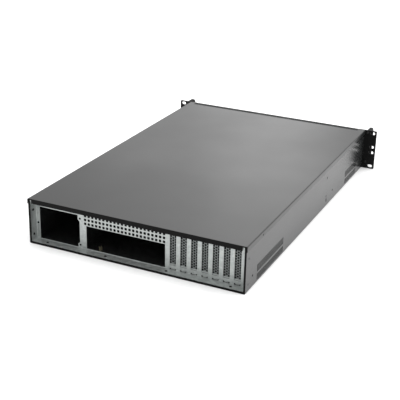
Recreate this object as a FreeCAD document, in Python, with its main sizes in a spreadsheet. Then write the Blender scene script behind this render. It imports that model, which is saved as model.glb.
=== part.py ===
import FreeCAD, Part
import math
import os

import Sketcher

# Two-unit rackmount server case, empty. Millimetres, +Z up, front towards -Y, rear towards +Y,
# origin on the underside at the middle of the whole footprint. "Left" and "right" are as seen
# by someone who faces the front, so left is -X.

SIZES = [
    # Shell
    ("body_width", 430.0),
    ("body_height", 88.0),
    ("body_depth", 673.0),
    ("tray_steel", 1.2),
    ("cover_steel", 1.0),
    ("cover_gap", 0.2),
    ("bend_radius", 2.0),
    ("hole_play", 0.6),
    ("wall_top_flange", 10.0),
    ("front_flange", 20.0),
    ("front_lip", 1.4),
    ("rear_lip", 2.5),
    # Top cover
    ("cover_side_flange", 10.0),
    ("cover_rear_flange", 8.5),
    ("cover_rear_fold", 0.9),
    ("cover_corner_relief", 8.5),
    ("cover_tongue", 8.0),
    ("cover_tongue_inset", 12.0),
    ("cover_screw_hole", 3.4),
    ("cover_screw_drop", 6.2),
    ("cover_screw_rear", 70.0),
    ("cover_screw_front", 70.0),
    # Side wall vents and holes
    ("vent_slot", 2.8),
    ("vent_pitch", 5.0),
    ("vent_low_base", 4.5),
    ("vent_low_tall", 11.5),
    ("vent_strip", 4.0),
    ("vent_high_tall", 13.7),
    ("rear_vent_start", 52.0),
    ("rear_vent_count", 25),
    ("front_vent_start", 544.0),
    ("front_vent_count", 16),
    ("rail_hole", 4.2),
    ("rail_hole_height", 22.0),
    ("rail_hole_rear", 31.6),
    ("rail_hole_front", 459.0),
    ("latch_slot_at", 420.0),
    ("latch_slot_height", 14.1),
    ("latch_slot_tall", 7.0),
    # Rear panel
    ("recess", 22.5),
    ("panel_steel", 1.0),
    ("panel_corner", 6.0),
    ("panel_bend", 1.6),
    ("shelf_height", 80.6),
    ("shelf_lip", 4.6),
    ("shelf_lip_inset", 1.6),
    ("supply_left", 119.3),
    ("supply_step", 3.7),
    ("supply_step_slope", 3.2),
    ("supply_step_base", 9.7),
    ("supply_step_top", 53.9),
    ("supply_wide", 84.7),
    ("supply_base", 3.2),
    ("supply_tall", 62.8),
    ("supply_hole", 4.2),
    ("supply_hole_margin", 4.4),
    ("supply_hole_low", 8.0),
    ("supply_hole_high", 59.6),
    ("supply_hole_mid", 33.5),
    ("io_wide", 158.75),
    ("io_tall", 44.45),
    ("io_base", 3.4),
    ("io_centre", 25.9),
    ("grille_hole", 4.9),
    ("grille_corner", 1.0),
    ("grille_pitch", 7.55),
    ("grille_columns", 22),
    ("grille_rows", 3),
    ("grille_base", 51.9),
    ("grille_shift", 2.3),
    ("slot_pitch", 20.32),
    ("slot_count", 7),
    ("slot_first", 68.5),
    ("slot_wide", 12.06),
    ("slot_base", 10.6),
    ("slot_top", 77.0),
    ("tongue_slot_wide", 12.0),
    ("tongue_slot_tall", 2.6),
    # Expansion slot covers
    ("blank_wide", 18.42),
    ("blank_steel", 0.9),
    ("blank_flange", 11.4),
    ("blank_tongue_wide", 8.6),
    ("blank_tongue_root", 1.0),
    ("blank_tip_wide", 6.8),
    ("blank_tip_taper", 3.0),
    ("blank_tip_gap", 0.4),
    ("blank_shoulder", 8.0),
    ("blank_hole", 3.8),
    ("blank_hole_pitch", 5.0),
    ("blank_hole_rows", 12),
    ("blank_hole_base", 15.4),
    ("blank_column", 4.33),
    ("blank_notch", 4.4),
    ("blank_notch_rear", 6.2),
    # Rivets of the rear panel
    ("rivet", 3.2),
    ("rivet_head", 5.2),
    ("rivet_head_tall", 0.7),
    ("rivet_crown", 4.2),
    ("rivet_bore", 2.2),
    ("rivet_skin", 0.3),
    ("rivet_from_rear", 12.5),
    ("rivet_wall_low", 13.8),
    ("rivet_wall_high", 62.0),
    ("rivet_floor_first", 61.0),
    ("rivet_floor_pitch", 121.8),
    # Screws
    ("screw", 2.8),
    ("screw_head", 5.6),
    ("screw_head_tall", 1.8),
    ("screw_head_rim", 0.8),
    ("screw_crown", 4.0),
    ("screw_recess", 2.2),
    ("screw_recess_deep", 1.0),
    # Rack ears and handles
    ("rack_width", 482.6),
    ("ear_thickness", 2.5),
    ("ear_gap", 0.3),
    ("ear_corner", 2.0),
    ("rack_hole_span", 465.1),
    ("rack_hole_wide", 10.4),
    ("rack_hole_tall", 6.8),
    ("rack_hole_base", 5.9),
    ("rack_hole_rise", 31.75),
    ("rack_hole_middle", 12.7),
    ("handle_reach", 32.5),
    ("handle_base", 10.0),
    ("handle_tall", 77.2),
    ("handle_wide", 8.0),
    ("handle_bar", 9.0),
    ("handle_outer", 221.5),
    ("handle_corner", 11.0),
    ("handle_inner_corner", 5.0),
    ("handle_edge", 1.5),
    ("handle_bore_deep", 10.0),
    ("handle_screw_short", 1.0),
    ("ear_screw_in", 207.5),
    ("ear_screw_height", 26.0),
    ("ear_screw_rise", 36.0),
    ("ear_screw_end", 2.0),
    # Front panel
    ("front_half", 200.0),
    ("front_top_flange", 12.0),
    ("front_top_steel", 1.5),
    ("front_vent_slot", 3.4),
    ("front_vent_pitch", 6.8),
    ("front_vent_columns", 27),
    ("front_vent_left", 188.0),
    ("front_vent_tall", 30.0),
    ("front_vent_base", 10.0),
    ("front_vent_rise", 38.0),
    ("bay_left", 43.6),
    ("bay_wide", 149.6),
    ("bay_base", 2.8),
    ("bay_tall", 82.8),
    ("bay_gap", 0.3),
    ("blank_leg", 16.0),
    ("blank_leg_thick", 1.6),
    ("blank_leg_tall", 22.0),
    ("bay_cover_thick", 2.5),
    ("bay_cover_margin", 4.0),
    ("bay_cover_recess", 0.8),
    # Buttons, lamps and sockets
    ("control_x", 23.0),
    ("power_hole", 12.4),
    ("power_height", 70.0),
    ("reset_hole", 6.4),
    ("reset_height", 55.5),
    ("button_clearance", 0.2),
    ("button_flange", 1.2),
    ("button_lip", 1.4),
    ("button_proud", 2.2),
    ("button_bevel", 0.6),
    ("button_travel", 1.5),
    ("lamp", 3.0),
    ("lamp_crown", 2.1),
    ("lamp_proud", 0.6),
    ("lamp_height", 45.0),
    ("lamp_pitch", 8.0),
    ("socket_wide", 13.2),
    ("socket_tall", 5.8),
    ("socket_wall", 0.4),
    ("socket_back", 1.3),
    ("socket_tongue_wide", 11.4),
    ("socket_tongue_tall", 1.8),
    ("socket_tongue_base", 2.4),
    ("socket_tongue_inset", 0.6),
    ("socket_low", 18.0),
    ("socket_pitch", 14.0),
    ("board_thick", 1.6),
    ("board_stand", 6.0),
    ("board_wide", 26.0),
    ("board_base", 10.0),
    ("board_tall", 68.0),
    ("switch_side", 6.0),
    ("spacer", 4.0),
    ("spacer_margin", 3.2),
    # Sheet pieces inside
    ("cage_steel", 1.0),
    ("cage_foot", 11.0),
    ("cage_deep", 150.0),
    ("cage_top", 84.9),
    ("cage_window_tall", 40.0),
    ("cage_window_long", 48.0),
    ("cage_window_first", 18.0),
    ("cage_window_pitch", 63.0),
    ("fan_wall_at", 400.0),
    ("fan_wall_foot", 12.0),
    ("fan_wall_top", 84.6),
    ("fan_wall_side_gap", 0.4),
    ("fan_opening", 76.0),
    ("fan_pitch", 92.0),
    ("fan_count", 4),
    ("fan_hole", 4.4),
    ("fan_hole_span", 71.5),
    ("brace_at", 300.0),
    ("brace_wide", 18.0),
    ("brace_tall", 12.0),
    ("brace_gap", 0.2),
    ("divider_gap", 3.4),
    ("divider_foot", 10.0),
    ("divider_deep", 175.0),
    ("divider_top", 78.0),
    # Board standoffs
    ("standoff_flats", 5.5),
    ("standoff_tall", 6.35),
    ("standoff_bore", 2.5),
    ("board_column_first", 198.6),
    ("board_column_middle", 124.46),
    ("board_column_last", 281.94),
    ("board_row_first", 10.16),
    ("board_row_middle", 154.94),
    ("board_row_last", 227.33),
]

doc = FreeCAD.newDocument("RackCase")
sheet = doc.addObject("Spreadsheet::Sheet", "sizes")
for row, (alias, number) in enumerate(SIZES, start=1):
    sheet.set(f"A{row}", alias)
    sheet.set(f"B{row}", str(number))
    sheet.setAlias(f"B{row}", alias)
doc.recompute()

# Lines and planes that several pieces share, as expressions over the sheet.
REAR = "((sizes.body_depth + sizes.ear_thickness + sizes.handle_reach) / 2)"
FRONT = f"({REAR} - sizes.body_depth)"
FACE = f"({FRONT} - sizes.ear_thickness)"
COVER_HALF = "(sizes.body_width / 2)"
COVER_UNDER = "(sizes.body_height - sizes.cover_steel)"
TRAY_HALF = f"({COVER_HALF} - sizes.cover_steel - sizes.cover_gap)"
TRAY_TOP = f"({COVER_UNDER} - sizes.cover_gap)"
TRAY_REAR = f"({REAR} - sizes.cover_steel - sizes.cover_gap)"
WALL_IN = f"({TRAY_HALF} - sizes.tray_steel)"
FLOOR = "sizes.tray_steel"
PAN_REAR = f"({TRAY_REAR} - sizes.tray_steel - sizes.cover_gap)"
PANEL_REAR = f"({REAR} - sizes.recess)"
PANEL_FRONT = f"({PANEL_REAR} - sizes.panel_steel)"
PANEL_TOP = "sizes.shelf_height"
FLANGE_UNDER = f"({TRAY_TOP} - sizes.tray_steel)"
INNER_BEND = "(sizes.bend_radius - sizes.tray_steel)"
RIVET_HOLE = "(sizes.rivet + sizes.hole_play)"
SCREW_HOLE = "(sizes.screw + sizes.hole_play)"
LAMP_HOLE = "(sizes.lamp + sizes.hole_play)"


def value(expression):
    """The number that an expression over the sheet stands for."""
    return float(sheet.evalExpression(str(expression)))


def new_body(label):
    body = doc.addObject("PartDesign::Body", label)
    body.Label = label
    return body


def sketch_on(body, role, at="0"):
    """A sketch parallel to one of the body's origin planes, at a distance along that plane's axis."""
    sign = "-" if role == "XZ_Plane" else ""
    sketch = body.newObject("Sketcher::SketchObject", "outline")
    plane = next(f for f in body.Origin.OriginFeatures if f.Role == role)
    sketch.AttachmentSupport = [(plane, "")]
    sketch.MapMode = "FlatFace"
    sketch.setExpression("AttachmentOffset.Base.z", f"{sign}({at})")
    return sketch


def pin(sketch, kind, geometry, point, expression):
    """Ties one coordinate of a sketch point to an expression."""
    number = sketch.addConstraint(Sketcher.Constraint(kind, geometry, point, value(expression)))
    sketch.setExpression(f"Constraints[{number}]", str(expression))


def polygon(sketch, points):
    """A closed outline of straight lines through points given as pairs of expressions."""
    first = sketch.GeometryCount
    corners = [FreeCAD.Vector(value(x), value(y), 0) for x, y in points]
    count = len(corners)
    lines = [Part.LineSegment(corners[i], corners[(i + 1) % count]) for i in range(count)]
    sketch.addGeometry(lines, False)
    for i in range(count):
        following = first + (i + 1) % count
        sketch.addConstraint(Sketcher.Constraint("Coincident", first + i, 2, following, 1))
    for i, (x, y) in enumerate(points):
        pin(sketch, "DistanceX", first + i, 1, x)
        pin(sketch, "DistanceY", first + i, 1, y)


def rectangle(sketch, left, right, low, high):
    polygon(sketch, [(left, low), (right, low), (right, high), (left, high)])


def circle(sketch, x, y, diameter):
    centre = FreeCAD.Vector(value(x), value(y), 0)
    shape = Part.Circle(centre, FreeCAD.Vector(0, 0, 1), value(diameter) / 2)
    number = sketch.addGeometry(shape, False)
    pin(sketch, "DistanceX", number, 3, x)
    pin(sketch, "DistanceY", number, 3, y)
    tie = sketch.addConstraint(Sketcher.Constraint("Diameter", number, value(diameter)))
    sketch.setExpression(f"Constraints[{tie}]", str(diameter))


def six_sided(x, y, diameter, turn=0.0):
    """Corners of a regular hexagon whose flats touch the given diameter."""
    points = []
    for i in range(6):
        angle = math.radians(turn + 60.0 * i + 30.0)
        reach = 0.5 / math.cos(math.pi / 6)
        points.append(
            (
                f"{x} + ({diameter}) * {reach * math.cos(angle):.6f}",
                f"{y} + ({diameter}) * {reach * math.sin(angle):.6f}",
            )
        )
    return points


def round_slot(sketch, x, y, long, tall):
    """A slot with round ends, lying along the sketch's X."""
    radius = value(tall) / 2
    half = value(long) / 2 - radius
    cx, cy = value(x), value(y)
    up = FreeCAD.Vector(0, 0, 1)
    ends = [FreeCAD.Vector(cx - half, cy, 0), FreeCAD.Vector(cx + half, cy, 0)]
    quarter = math.pi / 2
    first = sketch.GeometryCount
    sketch.addGeometry(Part.ArcOfCircle(Part.Circle(ends[0], up, radius), quarter, 3 * quarter), False)
    sketch.addGeometry(Part.ArcOfCircle(Part.Circle(ends[1], up, radius), -quarter, quarter), False)
    drop = FreeCAD.Vector(0, radius, 0)
    sketch.addGeometry(Part.LineSegment(ends[0] - drop, ends[1] - drop), False)
    sketch.addGeometry(Part.LineSegment(ends[1] + drop, ends[0] + drop), False)
    for a, pa, b, pb in ((0, 2, 2, 1), (2, 2, 1, 1), (1, 2, 3, 1), (3, 2, 0, 1)):
        sketch.addConstraint(Sketcher.Constraint("Tangent", first + a, pa, first + b, pb))
    pin(sketch, "DistanceX", first, 3, f"{x} - ({long} - {tall}) / 2")
    pin(sketch, "DistanceY", first, 3, y)
    pin(sketch, "DistanceX", first + 1, 3, f"{x} + ({long} - {tall}) / 2")
    tie = sketch.addConstraint(Sketcher.Constraint("Radius", first, radius))
    sketch.setExpression(f"Constraints[{tie}]", f"{tall} / 2")


def pad(body, sketch, length, centred=False, forwards=True):
    """Thickens a sketch along its plane's positive axis, or the negative one."""
    feature = body.newObject("PartDesign::Pad", "pad")
    feature.Profile = sketch
    feature.setExpression("Length", str(length))
    flipped = sketch.AttachmentSupport[0][0].Role == "XZ_Plane"
    feature.Midplane = centred
    feature.Reversed = flipped == forwards and not centred
    doc.recompute()
    return feature


def cut(body, sketch, depth=None, forwards=True):
    """Cuts a sketch right through, or to a depth along its plane's positive axis."""
    before = body.Shape.Volume
    feature = body.newObject("PartDesign::Pocket", "cut")
    feature.Profile = sketch
    feature.Refine = False
    if depth is None:
        feature.Type = "ThroughAll"
        feature.Midplane = True
    else:
        feature.setExpression("Length", str(depth))
        flipped = sketch.AttachmentSupport[0][0].Role == "XZ_Plane"
        feature.Reversed = flipped != forwards
    doc.recompute()
    if not body.Shape.Volume < before:
        raise RuntimeError(f"{body.Label}: a cut removed nothing")
    return feature


def repeat(body, feature, sketch, count, pitch, upwards=False):
    """Repeats a feature along its sketch's X, or up its sketch's Y."""
    pattern = body.newObject("PartDesign::LinearPattern", "pattern")
    pattern.Refine = False
    pattern.Originals = [feature]
    pattern.Direction = (sketch, ["V_Axis" if upwards else "H_Axis"])
    pattern.setExpression("Length", f"({pitch}) * ({count} - 1)")
    pattern.setExpression("Occurrences", str(count))
    body.Tip = pattern
    doc.recompute()
    return pattern


def round_edges(body, radius, chosen):
    """Rounds the edges of the body's last feature that a test on their two ends chooses."""
    return ease_edges(body, "PartDesign::Fillet", "Radius", radius, chosen)


def bevel_edges(body, size, chosen):
    """Bevels the edges of the body's last feature that a test on their two ends chooses."""
    return ease_edges(body, "PartDesign::Chamfer", "Size", size, chosen)


def ease_edges(body, kind, measure, size, chosen):
    names = []
    for number, edge in enumerate(body.Tip.Shape.Edges, start=1):
        ends = [v.Point for v in edge.Vertexes]
        if len(ends) == 2 and chosen(ends[0], ends[1]):
            names.append(f"Edge{number}")
    base = body.Tip
    feature = body.newObject(kind, "eased")
    feature.Base = (base, names)
    feature.setExpression(measure, str(size))
    doc.recompute()
    return feature


def near(a, b):
    return abs(a - b) < 1e-4


def along_y(p, q):
    return near(p.x, q.x) and near(p.z, q.z) and not near(p.y, q.y)


def along_x(p, q):
    return near(p.y, q.y) and near(p.z, q.z) and not near(p.x, q.x)


def flat_face(points):
    return Part.Face(Part.makePolygon(points + points[:1]))


def turned(profile, place, direction, sides=12):
    """A small turned piece in flat facets, from (radius, height) pairs that start and end on its axis,
    stood at a place with that axis along a direction."""
    rings = []
    for radius, height in profile:
        steps = [2 * math.pi * i / sides for i in range(sides)]
        rings.append([FreeCAD.Vector(radius * math.cos(a), radius * math.sin(a), height) for a in steps])
    faces = [flat_face(rings[1])]
    for lower, upper in zip(rings[1:-2], rings[2:-1]):
        for i in range(sides):
            j = (i + 1) % sides
            faces.append(flat_face([lower[i], lower[j], upper[j], upper[i]]))
    tip = rings[-1][0]
    last = rings[-2]
    if near(tip.z, last[0].z):
        faces.append(flat_face(last))
    else:
        faces += [flat_face([last[i], last[(i + 1) % sides], tip]) for i in range(sides)]
    solid = Part.Solid(Part.Shell(faces))
    if solid.Volume < 0:
        solid.reverse()
    turn = FreeCAD.Rotation(FreeCAD.Vector(0, 0, 1), FreeCAD.Vector(*direction))
    solid.Placement = FreeCAD.Placement(FreeCAD.Vector(*place), turn)
    return solid


def group(label, solids):
    """Identical small pieces that share one name."""
    feature = doc.addObject("Part::Feature", label)
    feature.Label = label
    feature.Shape = Part.makeCompound(solids)
    feature.Placement = FreeCAD.Placement()
    return feature


# Chassis tray: floor, two side walls with inward top flanges, a folded front and a rear lip,
# all one sheet of steel.
def chassis_tray():
    tray = new_body("chassis_tray")
    section = sketch_on(tray, "XZ_Plane", FRONT)
    flange_in = f"({TRAY_HALF} - sizes.wall_top_flange)"
    right = [
        (TRAY_HALF, "0"),
        (TRAY_HALF, TRAY_TOP),
        (flange_in, TRAY_TOP),
        (flange_in, FLANGE_UNDER),
        (WALL_IN, FLANGE_UNDER),
        (WALL_IN, FLOOR),
    ]
    left = [(f"-{x}", z) for x, z in reversed(right)]
    polygon(section, right + left)
    pad(tray, section, f"{TRAY_REAR} - {FRONT}")

    half = value(TRAY_HALF)
    inner = value(WALL_IN)
    top = value(TRAY_TOP)

    def outer_bend(p, q):
        return along_y(p, q) and near(abs(p.x), half) and (near(p.z, 0) or near(p.z, top))

    def inner_bend(p, q):
        at_bend = near(p.z, value(FLOOR)) or near(p.z, value(FLANGE_UNDER))
        return along_y(p, q) and near(abs(p.x), inner) and at_bend

    round_edges(tray, "sizes.bend_radius", outer_bend)
    round_edges(tray, INNER_BEND, inner_bend)

    # The front edge is folded in at the sides, and turned up as a low lip at the floor.
    # The rear edge has a narrow lip folded in all round.
    for at, depth_in, lip_up in (
        (FRONT, "sizes.front_flange", "sizes.front_lip"),
        (f"({TRAY_REAR} - sizes.tray_steel)", "(sizes.rear_lip + sizes.tray_steel)", "sizes.rear_lip"),
    ):
        frame = sketch_on(tray, "XZ_Plane", at)
        wall = f"({WALL_IN} + sizes.tray_steel / 2)"
        fold = f"({TRAY_HALF} - {depth_in})"
        roof = f"({TRAY_TOP} - sizes.tray_steel / 2)"
        base = "(sizes.tray_steel / 2)"
        lip = f"({FLOOR} + {lip_up})"
        half_frame = [(wall, base), (wall, roof), (fold, roof), (fold, lip)]
        other_half = [(f"-{x}", z) for x, z in reversed(half_frame)]
        polygon(frame, half_frame + other_half)
        pad(tray, frame, "sizes.tray_steel")

    # Rail fixing holes, the latch slot and the cover's screw holes, through both walls.
    holes = sketch_on(tray, "YZ_Plane")
    for away in ("sizes.rail_hole_rear", "sizes.rail_hole_front"):
        circle(holes, f"{REAR} - {away}", "sizes.rail_hole_height", "sizes.rail_hole")
    screw_z = "(sizes.body_height - sizes.cover_screw_drop)"
    circle(holes, f"{REAR} - sizes.cover_screw_rear", screw_z, "sizes.cover_screw_hole")
    circle(holes, f"{FRONT} + sizes.cover_screw_front", screw_z, "sizes.cover_screw_hole")
    slot_y = f"({REAR} - sizes.latch_slot_at)"
    half_tall = "sizes.latch_slot_tall / 2"
    rectangle(
        holes,
        f"{slot_y} - sizes.rail_hole / 2",
        f"{slot_y} + sizes.rail_hole / 2",
        f"sizes.latch_slot_height - {half_tall}",
        f"sizes.latch_slot_height + {half_tall}",
    )
    for height in ("sizes.rivet_wall_low", "sizes.rivet_wall_high"):
        circle(holes, f"{REAR} - sizes.rivet_from_rear", height, RIVET_HOLE)
    cut(tray, holes)

    # Holes in the folded front edge for the screws that hold the rack ears.
    ear_holes = sketch_on(tray, "XZ_Plane", FRONT)
    for x, height in ear_screw_places():
        circle(ear_holes, x, height, SCREW_HOLE)
    cut(tray, ear_holes, "sizes.tray_steel")

    floor_holes = sketch_on(tray, "XY_Plane")
    for i in range(4):
        circle(floor_holes, rivet_floor_x(i), f"{REAR} - sizes.rivet_from_rear", RIVET_HOLE)
    cut(tray, floor_holes, "sizes.tray_steel")

    # Cooling slots in a low and a high band: in both side walls near the front, and near the rear in
    # the wall away from the power supply only.
    high_base = "(sizes.vent_low_base + sizes.vent_low_tall + sizes.vent_strip)"
    bands = (("sizes.vent_low_base", "sizes.vent_low_tall"), (high_base, "sizes.vent_high_tall"))
    for start, count, depth in (
        ("sizes.rear_vent_start", "sizes.rear_vent_count", "sizes.tray_steel"),
        ("sizes.front_vent_start", "sizes.front_vent_count", None),
    ):
        last = f"({REAR} - {start} - sizes.vent_pitch * ({count} - 1))"
        vent = sketch_on(tray, "YZ_Plane", f"-{TRAY_HALF}")
        for base, tall in bands:
            rectangle(vent, f"{last} - sizes.vent_slot", last, base, f"{base} + {tall}")
        slots = cut(tray, vent, depth)
        repeat(tray, slots, vent, count, "sizes.vent_pitch")
    return tray


def rivet_floor_x(i):
    return f"(sizes.rivet_floor_first - sizes.rivet_floor_pitch * {i - 1})"


def ear_screw_places(sides=("-1", "1")):
    high = "(sizes.ear_screw_height + sizes.ear_screw_rise)"
    heights = ("sizes.ear_screw_height", high)
    return [(f"{side} * sizes.ear_screw_in", height) for side in sides for height in heights]


# Top cover: one folded sheet whose side flanges lap the walls and whose rear flange closes the back.
def top_cover():
    cover = new_body("top_cover")
    front_edge = f"({FRONT} + sizes.cover_gap)"
    section = sketch_on(cover, "XZ_Plane", front_edge)
    foot = "(sizes.body_height - sizes.cover_side_flange)"
    inside = f"({COVER_HALF} - sizes.cover_steel)"
    right = [
        (inside, COVER_UNDER),
        (inside, foot),
        (COVER_HALF, foot),
        (COVER_HALF, "sizes.body_height"),
    ]
    left = [(f"-{x}", z) for x, z in reversed(right)]
    polygon(section, right + left)
    pad(cover, section, f"{REAR} - {front_edge}")

    half = value(COVER_HALF)
    top = value("sizes.body_height")
    round_edges(
        cover,
        "sizes.bend_radius - sizes.cover_gap",
        lambda p, q: along_y(p, q) and near(abs(p.x), half) and near(p.z, top),
    )
    under = value(COVER_UNDER)
    round_edges(
        cover,
        "sizes.bend_radius - sizes.cover_gap - sizes.cover_steel",
        lambda p, q: along_y(p, q) and near(abs(p.x), value(inside)) and near(p.z, under),
    )

    rear_flange = sketch_on(cover, "XZ_Plane", f"{REAR} - sizes.cover_steel")
    flange_half = f"({COVER_HALF} - sizes.cover_corner_relief)"
    rectangle(
        rear_flange,
        f"-{flange_half}",
        flange_half,
        "sizes.body_height - sizes.cover_rear_flange",
        f"{COVER_UNDER} + sizes.cover_steel / 2",
    )
    pad(cover, rear_flange, "sizes.cover_steel")
    rear = value(REAR)
    round_edges(
        cover,
        "sizes.cover_rear_fold",
        lambda p, q: along_x(p, q) and near(p.y, rear) and near(p.z, top),
    )

    # The front edge is notched for the top flange of the front panel.
    notch = sketch_on(cover, "XY_Plane", f"{COVER_UNDER} - sizes.cover_steel")
    notch_back = f"{FRONT} + sizes.front_top_flange + sizes.ear_gap"
    notch_half = "sizes.front_half + sizes.ear_gap"
    rectangle(notch, f"-({notch_half})", notch_half, f"{front_edge} - sizes.cover_steel", notch_back)
    cut(cover, notch, "3 * sizes.cover_steel")

    # A stepped tongue behind the notch slides under that flange.
    tongue = sketch_on(cover, "YZ_Plane")
    tongue_top = "(sizes.body_height - sizes.front_top_steel - sizes.cover_gap)"
    tongue_low = f"({tongue_top} - sizes.cover_steel)"
    step = f"({notch_back})"
    polygon(
        tongue,
        [
            (step, f"{COVER_UNDER} + sizes.cover_steel / 2"),
            (step, tongue_top),
            (f"{step} - sizes.cover_tongue", tongue_top),
            (f"{step} - sizes.cover_tongue", tongue_low),
            (f"{step} + sizes.cover_steel", tongue_low),
            (f"{step} + sizes.cover_steel", f"{COVER_UNDER} + sizes.cover_steel / 2"),
        ],
    )
    pad(cover, tongue, "2 * (sizes.front_half - sizes.cover_tongue_inset)", centred=True)

    holes = sketch_on(cover, "YZ_Plane")
    screw_z = "(sizes.body_height - sizes.cover_screw_drop)"
    circle(holes, f"{REAR} - sizes.cover_screw_rear", screw_z, "sizes.cover_screw_hole")
    circle(holes, f"{FRONT} + sizes.cover_screw_front", screw_z, "sizes.cover_screw_hole")
    cut(cover, holes)
    return cover


# Rear panel: a shallow pan of galvanised sheet, open to the rear, with a lip above its top wall.
def rear_panel():
    panel = new_body("rear_panel")
    outline = sketch_on(panel, "XZ_Plane", PANEL_FRONT)
    rectangle(outline, f"-{WALL_IN}", WALL_IN, FLOOR, PANEL_TOP)
    pad(panel, outline, f"{PAN_REAR} - {PANEL_FRONT}")
    round_edges(panel, "sizes.panel_corner", along_y)
    front = value(PANEL_FRONT)
    round_edges(panel, "sizes.panel_bend", lambda p, q: near(p.y, front) and near(q.y, front))

    rear = value(PAN_REAR)
    faces = panel.Shape.Faces
    open_side = next(i for i, f in enumerate(faces, start=1) if near(f.BoundBox.YMin, rear))
    base = panel.Tip
    shell = panel.newObject("PartDesign::Thickness", "shell")
    shell.Base = (base, [f"Face{open_side}"])
    shell.setExpression("Value", "sizes.panel_steel")
    shell.Reversed = True
    doc.recompute()

    lip = sketch_on(panel, "XZ_Plane", f"{PAN_REAR} - sizes.panel_steel")
    lip_half = f"({WALL_IN} - sizes.shelf_lip_inset)"
    flat_half = f"({WALL_IN} - sizes.panel_corner)"
    shelf_mid = f"({PANEL_TOP} - sizes.panel_steel / 2)"
    lip_top = f"({PANEL_TOP} + sizes.shelf_lip)"
    right = [(flat_half, shelf_mid), (flat_half, PANEL_TOP), (lip_half, PANEL_TOP), (lip_half, lip_top)]
    left = [(f"-{x}", z) for x, z in reversed(right)]
    polygon(lip, right + left)
    pad(panel, lip, "sizes.panel_steel")

    # Power supply opening, wider on its inner side between two slopes, with three screw holes.
    supply = sketch_on(panel, "XZ_Plane", PANEL_FRONT)
    outer = "(sizes.supply_left + sizes.supply_wide)"
    inner = "(sizes.supply_left + sizes.supply_step)"
    top = "(sizes.supply_base + sizes.supply_tall)"
    polygon(
        supply,
        [
            (outer, "sizes.supply_base"),
            (outer, top),
            (inner, top),
            (inner, "sizes.supply_step_top + sizes.supply_step_slope"),
            ("sizes.supply_left", "sizes.supply_step_top"),
            ("sizes.supply_left", "sizes.supply_step_base + sizes.supply_step_slope"),
            (inner, "sizes.supply_step_base"),
            (inner, "sizes.supply_base"),
        ],
    )
    cut(panel, supply)
    supply_holes = sketch_on(panel, "XZ_Plane", PANEL_FRONT)
    near_side = f"({inner} - sizes.supply_hole_margin)"
    for height in ("sizes.supply_hole_low", "sizes.supply_hole_high"):
        circle(supply_holes, near_side, height, "sizes.supply_hole")
    far_side = f"({outer} + sizes.supply_hole_margin)"
    circle(supply_holes, far_side, "sizes.supply_hole_mid", "sizes.supply_hole")
    cut(panel, supply_holes)

    # Board connector opening.
    connectors = sketch_on(panel, "XZ_Plane", PANEL_FRONT)
    io_right = "(sizes.io_centre + sizes.io_wide / 2)"
    io_top = "sizes.io_base + sizes.io_tall"
    rectangle(connectors, f"{io_right} - sizes.io_wide", io_right, "sizes.io_base", io_top)
    cut(panel, connectors)

    # Seven expansion slots, and under each a notch in the bottom bend for its cover's tongue.
    slots = sketch_on(panel, "XZ_Plane", PANEL_FRONT)
    last_x = slot_x("(sizes.slot_count - 1)")
    rectangle(
        slots,
        f"{last_x} - sizes.slot_wide / 2",
        f"{last_x} + sizes.slot_wide / 2",
        "sizes.slot_base",
        "sizes.slot_top",
    )
    opening = cut(panel, slots)
    repeat(panel, opening, slots, "sizes.slot_count", "sizes.slot_pitch")
    notches = sketch_on(panel, "XZ_Plane", PANEL_FRONT)
    notch_low = f"({FLOOR} + sizes.panel_steel)"
    rectangle(
        notches,
        f"{last_x} - sizes.tongue_slot_wide / 2",
        f"{last_x} + sizes.tongue_slot_wide / 2",
        notch_low,
        f"{notch_low} + sizes.tongue_slot_tall",
    )
    notch = cut(panel, notches, "sizes.panel_steel + sizes.panel_bend")
    repeat(panel, notch, notches, "sizes.slot_count", "sizes.slot_pitch")

    # Rivet holes through the side and bottom walls of the pan, screw holes in its top wall.
    wall_holes = sketch_on(panel, "YZ_Plane")
    for height in ("sizes.rivet_wall_low", "sizes.rivet_wall_high"):
        circle(wall_holes, f"{REAR} - sizes.rivet_from_rear", height, RIVET_HOLE)
    cut(panel, wall_holes)
    floor_holes = sketch_on(panel, "XY_Plane", FLOOR)
    for i in range(4):
        circle(floor_holes, rivet_floor_x(i), f"{REAR} - sizes.rivet_from_rear", RIVET_HOLE)
    cut(panel, floor_holes, "sizes.panel_steel")
    shelf_holes = sketch_on(panel, "XY_Plane", f"{PANEL_TOP} - sizes.panel_steel")
    for_screw = f"({PANEL_FRONT} + sizes.blank_notch_rear)"
    circle(shelf_holes, last_x, for_screw, SCREW_HOLE)
    shelf_hole = cut(panel, shelf_holes, "sizes.panel_steel")
    repeat(panel, shelf_hole, shelf_holes, "sizes.slot_count", "sizes.slot_pitch")

    # Grille of square holes above the connector opening.
    grille = sketch_on(panel, "XZ_Plane", PANEL_FRONT)
    span = "sizes.grille_pitch * (sizes.grille_columns - 1)"
    hole_x = f"(sizes.io_centre + sizes.grille_shift - {span} / 2)"
    hole_half = "(sizes.grille_hole / 2)"
    corner = f"({hole_half} - sizes.grille_corner)"
    first_corners = [(1, hole_half, corner), (1, corner, hole_half)]
    around = first_corners + [(-1, a, b) for _, a, b in reversed(first_corners)]
    for k in range(int(value("sizes.grille_rows"))):
        middle = f"(sizes.grille_base + sizes.grille_pitch * {k})"
        upper = [(f"{hole_x} + {s} * {a}", f"{middle} + {b}") for s, a, b in around]
        lower = [(f"{hole_x} + {s} * {a}", f"{middle} - {b}") for s, a, b in reversed(around)]
        polygon(grille, upper + lower)
    column = cut(panel, grille)
    repeat(panel, column, grille, "sizes.grille_columns", "sizes.grille_pitch")
    return panel


def slot_x(k):
    return f"(-sizes.slot_first - sizes.slot_pitch * {k})"


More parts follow.
